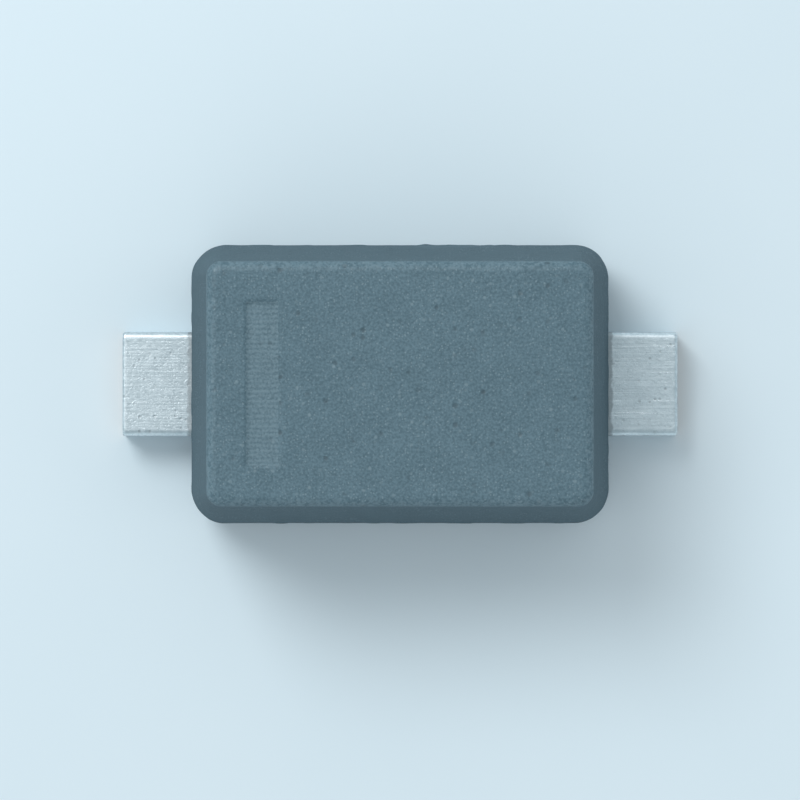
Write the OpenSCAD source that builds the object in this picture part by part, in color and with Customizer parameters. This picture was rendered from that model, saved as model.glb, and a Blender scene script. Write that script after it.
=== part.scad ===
// Varicap diode: a moulded body with two flat leads, and the chip, its contact and its wire inside.
// X runs along the leads with the cathode at -X, Y runs across the body, and Z points up.
// Heights here are measured up from the board. The finished part is lowered by half its height, so that
// the origin is the middle of the part. Millimetres.

/* [Body] */
// Length of the body at its parting line
body_length = 1.20; // [1.10:0.01:1.30]
// Width of the body at its parting line
body_width = 0.80; // [0.70:0.01:0.90]
// Height of the top face above the board
body_top = 0.60; // [0.56:0.01:0.70]
// Height of the underside above the board
standoff = 0.02; // [0.01:0.005:0.04]
// Lean of the side walls from the vertical, in degrees
draft = 7; // [4:0.5:10]
// Plan radius of the corners at the top face
corner_radius = 0.04; // [0.04:0.005:0.08]
// Rounding of the edge round the top face
top_edge_radius = 0.03; // [0.01:0.005:0.04]
// Rounding of the edge round the underside
bottom_edge_radius = 0.015; // [0.005:0.005:0.03]

/* [Marks in the body] */
// Distance of the polarity bar from the top face's cathode edge
bar_inset = 0.11; // [0.06:0.01:0.20]
// Width of the polarity bar, along the body
bar_width = 0.09; // [0.05:0.01:0.16]
// Length of the polarity bar, across the body
bar_length = 0.46; // [0.30:0.01:0.56]
// Depth of the polarity bar in the top face
bar_depth = 0.008; // [0.004:0.001:0.015]
// Diameter of the ejector pin's mark in the underside
ejector_diameter = 0.26; // [0.16:0.01:0.32]
// Depth of the ejector pin's mark
ejector_depth = 0.008; // [0.004:0.001:0.015]

/* [Leads] */
// Length over the two lead tips
overall_length = 1.60; // [1.50:0.01:1.70]
// Width of the lead strip
lead_width = 0.30; // [0.20:0.01:0.38]
// Thickness of the lead strip
lead_thickness = 0.13; // [0.09:0.01:0.16]
// Length of each foot that lies under the body
foot_under_body = 0.08; // [0.04:0.01:0.12]
// Height of the inner strip above the foot
lead_rise = 0.12; // [0.10:0.01:0.15]
// Angle of the two bends that raise the inner strip, in degrees
bend_angle = 50; // [40:1:60]
// Inside radius of those bends
bend_radius = 0.04; // [0.03:0.005:0.05]

/* [Lead frame inside] */
// Width of the chip paddle and of the bond post
plate_width = 0.46; // [0.40:0.01:0.54]
// Length of the bond post
post_length = 0.13; // [0.11:0.01:0.17]
// Gap between the chip paddle and the bond post
frame_gap = 0.09; // [0.06:0.01:0.12]
// Radius of the stamped corners
plate_corner_radius = 0.02; // [0.01:0.005:0.03]
// Radius of the notches that lock the paddle in the moulding
lock_radius = 0.03; // [0.015:0.005:0.04]

/* [Chip] */
// Side of the square chip
chip_side = 0.26; // [0.20:0.01:0.28]
// Thickness of the chip
chip_thickness = 0.12; // [0.09:0.01:0.14]
// Thickness of the solder under the chip
solder_thickness = 0.012; // [0.006:0.002:0.02]
// Width of the solder's fillet round the chip
solder_fillet = 0.018; // [0.01:0.002:0.024]
// Height that the fillet climbs on the chip's sides
solder_climb = 0.018; // [0.006:0.002:0.03]
// Width of the fillet's upper edge
solder_lip = 0.004; // [0.002:0.001:0.006]
// Diameter of the anode contact
pad_diameter = 0.11; // [0.09:0.005:0.15]
// Thickness of the anode contact
pad_thickness = 0.005; // [0.003:0.001:0.01]

/* [Bond wire] */
// Diameter of the wire
wire_diameter = 0.025; // [0.018:0.001:0.03]
// Diameter of the bonded ball
ball_diameter = 0.07; // [0.06:0.005:0.085]
// Height of the bonded ball
ball_height = 0.02; // [0.014:0.002:0.026]
// Height of the cone between the ball and the wire
ball_neck = 0.012; // [0.006:0.002:0.02]
// Straight rise of the wire above the ball
wire_rise = 0.012; // [0.006:0.002:0.024]
// Radius of the wire's bend at the top of the loop
loop_radius = 0.045; // [0.03:0.005:0.06]
// Diameter at which the wire starts to flatten into the stitch
stitch_neck = 0.032; // [0.031:0.001:0.036]
// Width of the flattened stitch
stitch_width = 0.05; // [0.04:0.002:0.06]
// Length of the stitch
stitch_length = 0.07; // [0.06:0.005:0.09]
// Thickness of the stitch at its far end
stitch_thickness = 0.006; // [0.004:0.001:0.01]

/* [Hidden] */

$fn = 48;
// Chords in each rounded edge and corner that is drawn as points
arc_steps = 6;
// How far a cutter runs past the face that it cuts
overrun = 0.05;
// Facets of the hull that blends the wire into its stitch
blend_facets = 32;
// Thickness of the slice of wire that the blend starts from
blend_slice = 0.002;

// The parting line runs level with the top of the feet
parting_z = lead_thickness;
upper_lean = (body_top - parting_z) * tan(draft);
lower_lean = (parting_z - standoff) * tan(draft);
top_half_length = body_length / 2 - upper_lean;
top_half_width = body_width / 2 - upper_lean;
// Upright axes about which the walls turn at the four corners
corner_axis_x = top_half_length - corner_radius;
corner_axis_y = top_half_width - corner_radius;
parting_radius = corner_radius + upper_lean;
bottom_radius = parting_radius - lower_lean;
// An edge of radius r that rounds a leaning wall into a level face starts this far in for each unit of r
edge_setback = (1 - sin(draft)) / cos(draft);

// Formed strip: a foot, a bend up, a slope, a bend back to level, and the inner plate
foot_end_x = body_length / 2 - foot_under_body;
bend_middle = bend_radius + lead_thickness / 2;
slope_length = (lead_rise - 2 * bend_middle * (1 - cos(bend_angle))) / sin(bend_angle);
plate_start_x = foot_end_x - 2 * bend_middle * sin(bend_angle) - slope_length * cos(bend_angle);
plate_top = lead_rise + lead_thickness;
post_inner_x = plate_start_x - post_length;
paddle_inner_x = post_inner_x - frame_gap;

chip_x = (paddle_inner_x - plate_start_x) / 2;
chip_bottom = plate_top + solder_thickness;
chip_top = chip_bottom + chip_thickness;
pad_top = chip_top + pad_thickness;
solder_base = chip_side / 2 + solder_fillet;
solder_upper = chip_side / 2 + solder_lip;

// Wire path in the XZ plane: up from the ball, round the loop, straight down to the stitch
loop_centre_x = chip_x + loop_radius;
loop_centre_z = pad_top + ball_height + ball_neck + wire_rise;
post_middle_x = post_inner_x + post_length / 2;
wire_end_x = post_middle_x - stitch_length / 2;
wire_end_z = plate_top + stitch_neck / 2;
span_x = wire_end_x - loop_centre_x;
span_z = loop_centre_z - wire_end_z;
run_length = sqrt(span_x * span_x + span_z * span_z - loop_radius * loop_radius);
run_slope = atan2(span_z, span_x) + atan2(loop_radius, run_length);
run_start_x = loop_centre_x + loop_radius * sin(run_slope);
run_start_z = loop_centre_z + loop_radius * cos(run_slope);
stitch_end_x = post_middle_x + stitch_length / 2 - stitch_width / 2;

// Points along an arc, from one angle to another
function arc(centre, radius, from, to) =
    [for (step = [0:arc_steps])
        let (angle = from + (to - from) * step / arc_steps)
        centre + radius * [cos(angle), sin(angle)]];

// Plan outline of an inner plate of the lead frame, with its stamped corners
function plate_outline(x_low, x_high) =
    let (
        radius = plate_corner_radius,
        corner_y = plate_width / 2 - radius)
    concat(
        arc([x_high - radius, corner_y], radius, 0, 90),
        arc([x_low + radius, corner_y], radius, 90, 180),
        arc([x_low + radius, -corner_y], radius, 180, 270),
        arc([x_high - radius, -corner_y], radius, 270, 360));

// Half section of the wall, from a corner's axis out: underside, edge, lower wall, parting line,
// upper wall, edge and top face
module wall_section() {
    polygon(concat(
        [[0, standoff]],
        arc([bottom_radius - bottom_edge_radius * edge_setback, standoff + bottom_edge_radius],
            bottom_edge_radius, -90, -draft),
        [[parting_radius, parting_z]],
        arc([corner_radius - top_edge_radius * edge_setback, body_top - top_edge_radius],
            top_edge_radius, draft, 90),
        [[0, body_top]]));
}

// A straight wall of the given length, which faces +X before it is turned
module wall(length) {
    rotate([90, 0, 0])
        translate([0, 0, -length / 2])
            linear_extrude(height = length) wall_section();
}

module moulding() {
    translate([-corner_axis_x, -corner_axis_y, standoff])
        cube([2 * corner_axis_x, 2 * corner_axis_y, body_top - standoff]);
    for (end = [0, 180]) {
        rotate([0, 0, end]) translate([corner_axis_x, 0, 0]) wall(2 * corner_axis_y);
        rotate([0, 0, end + 90]) translate([corner_axis_y, 0, 0]) wall(2 * corner_axis_x);
        rotate([0, 0, end]) translate([corner_axis_x, corner_axis_y, 0])
            rotate_extrude(angle = 90) wall_section();
        rotate([0, 0, end]) translate([-corner_axis_x, corner_axis_y, 0])
            rotate([0, 0, 90]) rotate_extrude(angle = 90) wall_section();
    }
}

module polarity_bar() {
    translate([bar_inset - top_half_length, -bar_length / 2, body_top - bar_depth])
        cube([bar_width, bar_length, bar_depth + overrun]);
}

module ejector_mark() {
    translate([0, 0, standoff - overrun])
        cylinder(d = ejector_diameter, h = ejector_depth + overrun);
}

// Side section of the formed strip at +X: the foot, a bend up, a slope, a bend back to level, and a
// tongue that runs into the inner plate
module strip_section() {
    lower_bend = [foot_end_x, lead_thickness + bend_radius];
    upper_bend = [plate_start_x, lead_rise - bend_radius];
    outside_radius = bend_radius + lead_thickness;
    polygon(concat(
        [[overall_length / 2, 0]],
        arc(lower_bend, outside_radius, -90, -90 - bend_angle),
        arc(upper_bend, bend_radius, 90 - bend_angle, 90),
        [[plate_start_x - plate_corner_radius, lead_rise]],
        [[plate_start_x - plate_corner_radius, plate_top]],
        arc(upper_bend, outside_radius, 90, 90 - bend_angle),
        arc(lower_bend, bend_radius, -90 - bend_angle, -90),
        [[overall_length / 2, lead_thickness]]));
}

module formed_strip() {
    rotate([90, 0, 0])
        translate([0, 0, -lead_width / 2])
            linear_extrude(height = lead_width) strip_section();
}

module inner_plate() {
    translate([0, 0, lead_rise])
        linear_extrude(height = lead_thickness) children();
}

module cathode_lead() {
    color("silver") {
        mirror([1, 0, 0]) formed_strip();
        inner_plate()
            difference() {
                polygon(plate_outline(-plate_start_x, paddle_inner_x));
                for (side = [-1, 1])
                    translate([chip_x, side * plate_width / 2]) circle(r = lock_radius);
            }
    }
}

module anode_lead() {
    color("silver") {
        formed_strip();
        inner_plate()
            polygon(plate_outline(post_inner_x, plate_start_x));
    }
}

// Section of the solder, which narrows from the paddle up to its lip on the chip
module solder_section(length) {
    rotate([90, 0, 0])
        translate([0, 0, -length / 2])
            linear_extrude(height = length)
                polygon([
                    [-solder_base, 0],
                    [solder_base, 0],
                    [solder_upper, solder_thickness + solder_climb],
                    [-solder_upper, solder_thickness + solder_climb]]);
}

module die_attach() {
    color("slategray")
        difference() {
            translate([chip_x, 0, plate_top])
                intersection() {
                    solder_section(2 * solder_base);
                    rotate([0, 0, 90]) solder_section(2 * solder_base);
                }
            chip_block();
        }
}

module chip_block() {
    translate([chip_x - chip_side / 2, -chip_side / 2, chip_bottom])
        cube([chip_side, chip_side, chip_thickness]);
}

module varicap_chip() {
    color("dimgray") chip_block();
}

module anode_pad() {
    color("gainsboro")
        translate([chip_x, 0, chip_top]) cylinder(d = pad_diameter, h = pad_thickness);
}

// The squashed ball and the cone that leads up to the wire
module ball_bond() {
    ball_side = ball_height / 2;
    translate([chip_x, 0, pad_top])
        rotate_extrude()
            polygon(concat(
                [[0, 0]],
                arc([ball_diameter / 2 - ball_side, ball_side], ball_side, -90, 90),
                [[wire_diameter / 2, ball_height + ball_neck]],
                [[0, ball_height + ball_neck]]));
}

// The flattened end of the wire on the bond post
module stitch_bond() {
    hull() {
        translate([wire_end_x, 0, wire_end_z])
            rotate([0, 90 + run_slope, 0])
                cylinder(d = stitch_neck, h = blend_slice, center = true, $fn = blend_facets);
        translate([stitch_end_x, 0, plate_top])
            cylinder(d = stitch_width, h = stitch_thickness, $fn = blend_facets);
    }
}

module bond_wire() {
    color("gold") {
        ball_bond();
        translate([chip_x, 0, pad_top + ball_height + ball_neck])
            cylinder(d = wire_diameter, h = wire_rise);
        translate([loop_centre_x, 0, loop_centre_z])
            rotate([90, 0, 0]) rotate([0, 0, 90 - run_slope])
                rotate_extrude(angle = 90 + run_slope)
                    translate([loop_radius, 0]) circle(d = wire_diameter);
        translate([run_start_x, 0, run_start_z])
            rotate([0, 90 + run_slope, 0])
                cylinder(d = wire_diameter, h = run_length);
        stitch_bond();
    }
}

module moulded_body() {
    color([0.25, 0.33, 0.37])
        difference() {
            moulding();
            polarity_bar();
            ejector_mark();
            cathode_lead();
            anode_lead();
            die_attach();
            varicap_chip();
            anode_pad();
            bond_wire();
        }
}

module about_middle() {
    translate([0, 0, -body_top / 2]) children();
}

about_middle() moulded_body();
about_middle() cathode_lead();
about_middle() anode_lead();
about_middle() die_attach();
about_middle() varicap_chip();
about_middle() anode_pad();
about_middle() bond_wire();
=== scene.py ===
"""Looks of a varicap diode: a drafted epoxy moulding on two formed, tin-plated leads.

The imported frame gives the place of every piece. The moulding and the two leads are worked out as numpy
surfaces in that frame, in metres, and stand for their solids. The moulding is hollow round what it holds.
The pieces that are sealed in it keep their solids and get finishes of their own.
"""

import logging
import math
from dataclasses import dataclass, field, replace
from enum import Enum
from typing import Any, Optional, Sequence, Union

import bpy
import numpy as np
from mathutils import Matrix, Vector


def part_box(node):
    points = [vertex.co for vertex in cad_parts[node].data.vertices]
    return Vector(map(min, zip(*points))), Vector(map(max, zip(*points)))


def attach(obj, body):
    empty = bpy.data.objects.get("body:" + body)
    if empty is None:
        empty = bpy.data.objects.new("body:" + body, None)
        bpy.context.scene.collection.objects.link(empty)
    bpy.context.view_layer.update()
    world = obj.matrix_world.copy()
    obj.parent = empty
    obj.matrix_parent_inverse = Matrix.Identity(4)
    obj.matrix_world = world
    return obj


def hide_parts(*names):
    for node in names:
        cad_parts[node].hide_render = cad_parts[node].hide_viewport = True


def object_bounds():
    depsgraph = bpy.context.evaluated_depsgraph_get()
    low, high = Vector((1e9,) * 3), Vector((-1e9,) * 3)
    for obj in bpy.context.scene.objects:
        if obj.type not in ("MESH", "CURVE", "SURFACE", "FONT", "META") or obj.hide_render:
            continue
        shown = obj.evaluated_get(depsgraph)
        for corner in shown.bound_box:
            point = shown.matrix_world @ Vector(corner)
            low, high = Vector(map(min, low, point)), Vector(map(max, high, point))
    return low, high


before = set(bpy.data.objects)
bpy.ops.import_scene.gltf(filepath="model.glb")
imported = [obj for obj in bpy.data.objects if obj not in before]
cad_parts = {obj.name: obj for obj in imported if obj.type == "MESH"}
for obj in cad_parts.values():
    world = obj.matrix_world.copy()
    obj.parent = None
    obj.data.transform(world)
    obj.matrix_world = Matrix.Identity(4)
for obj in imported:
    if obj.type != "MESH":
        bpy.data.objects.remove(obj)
CAD_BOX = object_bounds()

LOG = logging.getLogger("varicap")
MM = 1.0e-3
MICRON = 1.0e-6
NANOMETRE = 1.0e-9
UP = np.array([0.0, 0.0, 1.0])

# Numbers that mix the bits of a cell's coordinates
CELL_PRIMES = np.array([374761393, 668265263, 2147483647], np.uint64)
SEED_FACTOR = 974634777
MIX_FACTOR = np.uint64(1274126177)
MIX_SHIFTS = (np.uint64(13), np.uint64(16))
LOW_BITS = np.uint64(0xFFFFFFFF)

# Distance between the bands of a wave texture at a scale of 1
WAVE_SPACING = math.pi / 10

Colour = tuple[float, float, float]
Scale = tuple[float, float, float]
Span = tuple[float, float]
Socket = bpy.types.NodeSocket
Input = Union[Socket, float, Sequence[float]]


class End(Enum):
    """The two ends of the diode, with the side of the X axis that each is on."""

    CATHODE = -1.0
    ANODE = 1.0

    @property
    def node(self) -> str:
        """Name of the lead's node at this end."""
        return "cathode_lead" if self is End.CATHODE else "anode_lead"


class SkinMark(Enum):
    """Names of the point attributes that the finishes read."""

    RUBBED = "rubbed_edge"
    FLASH = "mould_flash"
    # Mask of the walls, which also places the walls' painted shade
    DRAWN = "drawn_wall"
    SHEARED = "sheared_face"


# Noise


def lattice(cells: np.ndarray, seed: int) -> np.ndarray:
    """Random values between -1 and 1 at whole-number cells, the same in every run.

    The three coordinates are multiplied by primes and added, and the sum's bits are mixed.

    Args:
        cells: Whole-number cell coordinates, shape (..., 3).
        seed: Number that chooses one field of values.

    Returns:
        One value for each cell, shape (...).
    """
    first_shift, last_shift = MIX_SHIFTS
    mixed = (cells.astype(np.int64).astype(np.uint64) * CELL_PRIMES).sum(-1) + np.uint64(seed * SEED_FACTOR)
    mixed = mixed & LOW_BITS
    mixed = ((mixed ^ (mixed >> first_shift)) * MIX_FACTOR) & LOW_BITS
    mixed = mixed ^ (mixed >> last_shift)
    return mixed.astype(float) / float(LOW_BITS) * 2.0 - 1.0


def smooth_noise(points: np.ndarray, cell: float, seed: int) -> np.ndarray:
    """Value noise: lattice values blended across each cell by the smooth step 6t^5 - 15t^4 + 10t^3.

    Args:
        points: Points in metres, shape (..., 3).
        cell: Side of a cell in metres.
        seed: Number that chooses the field.

    Returns:
        Values between -1 and 1, shape (...).
    """
    place = points / cell
    base = np.floor(place)
    part = place - base
    blend = part**3 * (part * (part * 6.0 - 15.0) + 10.0)
    total = np.zeros(points.shape[:-1])
    for corner in np.ndindex(2, 2, 2):
        step = np.array(corner)
        weight = np.where(step == 1, blend, 1.0 - blend).prod(-1)
        total += weight * lattice(base + step, seed)
    return total


def layered_noise(
    points: np.ndarray, cell: float, seed: int, layers: int = 2, spread: float = 1.6
) -> np.ndarray:
    """Sum of value noises, each with half the cell and half the height of the one before.

    Args:
        points: Points in metres, shape (..., 3).
        cell: Largest cell in metres.
        seed: Number that chooses the field.
        layers: How many noises are added.
        spread: Number that the sum is divided by.

    Returns:
        Values of about -1 to 1, shape (...).
    """
    parts = [smooth_noise(points, cell / 2**layer, seed + layer) / 2**layer for layer in range(layers)]
    return sum(parts) / spread


@dataclass(frozen=True)
class Unevenness:
    """Layered noise with sizes of its own, in metres.

    Attributes:
        cell: Largest cell.
        height: Height of the noise.
        seed: Number that chooses the field.
    """

    cell: float
    height: float
    seed: int

    def at(self, points: np.ndarray) -> np.ndarray:
        """Height at each point, which may be below zero."""
        return self.height * layered_noise(points, self.cell, self.seed)


def soft_step(value: np.ndarray, low: float, high: float) -> np.ndarray:
    """Goes from 0 at low to 1 at high along the cubic 3t^2 - 2t^3."""
    share = np.clip((value - low) / (high - low), 0.0, 1.0)
    return share * share * (3.0 - 2.0 * share)


def within(distance: np.ndarray, reach: float, soft: float) -> np.ndarray:
    """Is 1 where the distance is under the reach and 0 beyond it, with a soft edge on both sides of it."""
    return soft_step(reach + soft - np.abs(distance), 0.0, 2.0 * soft)


# Meshes


@dataclass
class Patch:
    """A grid of points that is part of a piece's skin.

    Attributes:
        points: Points in metres, shape (rows, columns, 3).
        marks: Point attributes, each of shape (rows, columns).
        closed: Whether the last column joins the first.
        turned: Whether the faces are turned over.
    """

    points: np.ndarray
    marks: dict[SkinMark, np.ndarray]
    closed: bool = True
    turned: bool = False

    def faces(self) -> np.ndarray:
        """Four-sided faces between neighbouring rows and columns.

        Returns:
            Numbers of the corner points, shape (faces, 4).
        """
        rows, columns = self.points.shape[:2]
        count = columns if self.closed else columns - 1
        row, column = np.meshgrid(np.arange(rows - 1), np.arange(count), indexing="ij")
        after = (column + 1) % columns
        corners = [row * columns + column, row * columns + after]
        corners += [(row + 1) * columns + after, (row + 1) * columns + column]
        faces = np.stack(corners, -1).reshape(-1, 4)
        return faces[:, ::-1] if self.turned else faces


def ring_normals(points: np.ndarray) -> np.ndarray:
    """Unit normals of a closed grid: the direction along the columns cross the direction along the rows.

    Args:
        points: Grid of points, shape (rows, columns, 3).

    Returns:
        Normals of the same shape.
    """
    along = np.roll(points, -1, axis=1) - np.roll(points, 1, axis=1)
    across = np.gradient(points, axis=0)
    normals = np.cross(along, across)
    length = np.linalg.norm(normals, axis=-1, keepdims=True)
    return normals / np.maximum(length, np.finfo(float).tiny)


def placed(name: str, data: bpy.types.ID) -> bpy.types.Object:
    """Puts data in the scene as an object at the origin.

    Args:
        name: Name of the object.
        data: Mesh, lamp or camera.

    Returns:
        The new object.
    """
    thing = bpy.data.objects.new(name, data)
    bpy.context.scene.collection.objects.link(thing)
    return thing


def joined_mesh(name: str, points: np.ndarray, faces: np.ndarray) -> tuple[bpy.types.Mesh, np.ndarray]:
    """Makes a mesh in which points that coincide are one.

    A face with four sides that loses one by this becomes a triangle. One that loses more is left out.

    Args:
        name: Name of the mesh.
        points: Points in metres, shape (points, 3).
        faces: Numbers of the corner points, shape (faces, corners).

    Returns:
        The mesh, and the numbers of the points that it kept.
    """
    nanometres = np.round(points / NANOMETRE).astype(np.int64)
    _, kept, merged = np.unique(nanometres, axis=0, return_index=True, return_inverse=True)
    faces = merged.reshape(-1)[faces]
    same = faces == np.roll(faces, -1, axis=1)
    listed = faces[~same.any(1)].tolist()
    if faces.shape[1] == 4:
        for side in range(4):
            lone = same[:, side] & (same.sum(1) == 1)
            listed += np.delete(faces[lone], side, axis=1).tolist()
    mesh = bpy.data.meshes.new(name)
    mesh.from_pydata(points[kept].tolist(), [], listed)
    return mesh, kept


def smooth_piece(name: str, patches: Sequence[Patch]) -> bpy.types.Object:
    """Joins patches into one smooth mesh. Points that coincide, as along a rim, become one.

    Args:
        name: Name of the piece.
        patches: Patches that together close the skin.

    Returns:
        The new object, at the origin.
    """
    points = np.concatenate([patch.points.reshape(-1, 3) for patch in patches])
    starts = np.cumsum([0] + [patch.points[..., 0].size for patch in patches])
    faces = np.concatenate([patch.faces() + start for patch, start in zip(patches, starts)])
    mesh, kept = joined_mesh(name, points, faces)
    for mark in patches[0].marks:
        values = np.concatenate([patch.marks[mark].reshape(-1) for patch in patches])
        layer = mesh.attributes.new(mark.value, "FLOAT", "POINT")
        layer.data.foreach_set("value", values[kept].astype(np.float32))
    mesh.polygons.foreach_set("use_smooth", np.ones(len(mesh.polygons), bool))
    mesh.update()
    return placed(name, mesh)


# Shader nodes


class Board:
    """Places nodes in one node tree and links them."""

    def __init__(self, tree: bpy.types.NodeTree) -> None:
        """Starts with an empty tree."""
        self.tree = tree
        tree.nodes.clear()

    def feed(self, socket: Socket, value: Input) -> None:
        """Links a socket to another one, or sets its own value.

        Args:
            socket: Socket that takes the value.
            value: Another socket, a number, a vector or a colour.
        """
        if isinstance(value, bpy.types.NodeSocket):
            self.tree.links.new(value, socket)
        elif socket.type == "RGBA":
            socket.default_value = (*value, 1.0)
        else:
            socket.default_value = value

    def add(
        self, kind: str, inputs: Optional[dict[Union[str, int], Input]] = None, **settings: Any
    ) -> bpy.types.Node:
        """Adds a node.

        Args:
            kind: Blender's name of the node's type.
            inputs: Values or sockets for its inputs, by name or by number.
            settings: Values for its other properties.

        Returns:
            The new node.
        """
        node = self.tree.nodes.new(kind)
        for key, value in settings.items():
            setattr(node, key, value)
        for key, value in (inputs or {}).items():
            self.feed(node.inputs[key], value)
        return node

    def math(self, operation: str, *values: Input, clamp: bool = False) -> Socket:
        """Result of a Math node."""
        node = self.add("ShaderNodeMath", dict(enumerate(values)), operation=operation, use_clamp=clamp)
        return node.outputs[0]

    def times(self, first: Input, second: Input) -> Socket:
        """Product of two values."""
        return self.math("MULTIPLY", first, second)

    def total(self, *parts: tuple[Socket, float], start: float = 0.0) -> Socket:
        """Weighted sum.

        Args:
            parts: Values with their weights.
            start: Number that they are added to.

        Returns:
            The sum.
        """
        result: Input = start
        for value, weight in parts:
            result = self.math("MULTIPLY_ADD", value, weight, result)
        return result

    def ramp(self, value: Input, low: float, high: float, start: float = 0.0, end: float = 1.0) -> Socket:
        """Smooth change from start, where the value is low or less, to end, where it is high or more."""
        inputs = {"Value": value, "From Min": low, "From Max": high, "To Min": start, "To Max": end}
        return self.add("ShaderNodeMapRange", inputs, interpolation_type="SMOOTHSTEP").outputs["Result"]

    def tint(self, share: Input, first: Input, second: Input) -> Socket:
        """Colour between two colours."""
        return self.add("ShaderNodeMix", {0: share, 6: first, 7: second}, data_type="RGBA").outputs[2]

    def layer(self, colour: Input, over: Input, mask: Socket, show: float) -> Socket:
        """Colour with another one over it, where the mask is and as strongly as it shows."""
        return self.tint(self.times(mask, show), colour, over)

    def place(self) -> Socket:
        """Object coordinates."""
        return self.add("ShaderNodeTexCoord").outputs["Object"]

    def axes(self, vector: Socket) -> bpy.types.NodeOutputs:
        """The three parts of a vector, by the names X, Y and Z."""
        return self.add("ShaderNodeSeparateXYZ", {"Vector": vector}).outputs

    def draw(self, cells: bpy.types.Node) -> Socket:
        """Random number between 0 and 1 for each of a Voronoi texture's cells."""
        return self.add("ShaderNodeSeparateColor", {0: cells.outputs["Color"]}).outputs[0]

    def mark(self, mark: SkinMark) -> Socket:
        """Value of a point attribute."""
        return self.add("ShaderNodeAttribute", attribute_name=mark.value).outputs["Fac"]

    def noise(self, where: Input, cell: float, detail: float = 3.0, fall: float = 0.55) -> Socket:
        """Noise between 0 and 1 with cells of a size in metres, whose finer layers fall off by a factor."""
        inputs = {"Vector": where, "Scale": 1.0 / cell, "Detail": detail, "Roughness": fall}
        return self.add("ShaderNodeTexNoise", inputs).outputs[0]

    def stretched(self, where: Input, scale: Sequence[float]) -> Socket:
        """Coordinates scaled by their own factor along each axis."""
        return self.add("ShaderNodeMapping", {"Vector": where, "Scale": scale}).outputs[0]

    def cells(self, where: Input, cell: float) -> bpy.types.Node:
        """Voronoi cells of a size in metres."""
        return self.add("ShaderNodeTexVoronoi", {"Vector": where, "Scale": 1.0 / cell})

    def relief(self, height: Input, depth: float) -> Socket:
        """Normal of a surface whose height goes from 0 to depth metres."""
        return self.add("ShaderNodeBump", {"Height": height, "Distance": depth}).outputs[0]

    def group(self, tree: bpy.types.NodeTree, inputs: dict[str, Input]) -> bpy.types.NodeOutputs:
        """Places a shared group with values of its own.

        Args:
            tree: The group's tree.
            inputs: Values or sockets for its inputs.

        Returns:
            The group's outputs.
        """
        node = self.add("ShaderNodeGroup", node_tree=tree)
        for key, value in inputs.items():
            self.feed(node.inputs[key], value)
        return node.outputs


class Blend:
    """Weighted sum of values that are known by name."""

    def __init__(self, start: float = 0.0, **weights: float) -> None:
        """Keeps the number that the sum starts from and the weight of each value."""
        self.start = start
        self.weights = weights

    def of(self, board: Board, **values: Socket) -> Socket:
        """Adds up the values, each times its weight."""
        parts = [(values[name], weight) for name, weight in self.weights.items()]
        return board.total(*parts, start=self.start)


@dataclass
class SharedEffect:
    """A node group in the making.

    Attributes:
        name: Name of the group.
        numbers: Names of the numbers that it takes, beside the place Where.
        results: Names of the values between 0 and 1 that it gives.
    """

    name: str
    numbers: Sequence[str]
    results: Sequence[str]

    def __post_init__(self) -> None:
        """Makes the tree with its sockets."""
        self.tree = bpy.data.node_groups.new(self.name, "ShaderNodeTree")
        face = self.tree.interface
        face.new_socket("Where", in_out="INPUT", socket_type="NodeSocketVector")
        for number in self.numbers:
            face.new_socket(number, in_out="INPUT", socket_type="NodeSocketFloat")
        for result in self.results:
            face.new_socket(result, in_out="OUTPUT", socket_type="NodeSocketFloat")
        self.board = Board(self.tree)
        self.given = self.board.add("NodeGroupInput").outputs
        self.result = self.board.add("NodeGroupOutput").inputs

    def noise(self, scale: str, detail: float) -> Socket:
        """Noise at the place given, at the scale given by name."""
        inputs = {"Vector": self.given["Where"], "Scale": self.given[scale], "Detail": detail}
        return self.board.add("ShaderNodeTexNoise", inputs).outputs[0]


def grain_group(
    seen: Span = (0.3, 0.7), height: Blend = Blend(fine=0.65, broad=0.35)
) -> bpy.types.NodeTree:
    """Group for the grain of a matte surface: a fine and a broad noise.

    Args:
        seen: Noise at which the grain is darkest and lightest.
        height: Share of each noise in the height.

    Returns:
        Tree that takes Fine and Broad, in cells to the metre, and gives the fine Speck, the broad Mottle
        and the Height of both together.
    """
    effect = SharedEffect("matte_grain", ("Fine", "Broad"), ("Speck", "Mottle", "Height"))
    board = effect.board
    fine = effect.noise("Fine", detail=2.0)
    broad = effect.noise("Broad", detail=3.0)
    board.feed(effect.result["Speck"], board.ramp(fine, *seen))
    board.feed(effect.result["Mottle"], board.ramp(broad, *seen))
    board.feed(effect.result["Height"], height.of(board, fine=fine, broad=broad))
    return effect.tree


def rub_group(worn: Span = (0.36, 0.64)) -> bpy.types.NodeTree:
    """Group for edges that handling has rubbed.

    Args:
        worn: Noise at which the rub starts and is full.

    Returns:
        Tree that takes the mark Edge and a Scale, in cells to the metre, and gives Rub, the mark broken
        up by noise.
    """
    effect = SharedEffect("rubbed_edge", ("Edge", "Scale"), ("Rub",))
    board = effect.board
    broken = board.ramp(effect.noise("Scale", detail=4.0), *worn)
    board.feed(effect.result["Rub"], board.times(effect.given["Edge"], broken))
    return effect.tree


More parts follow.
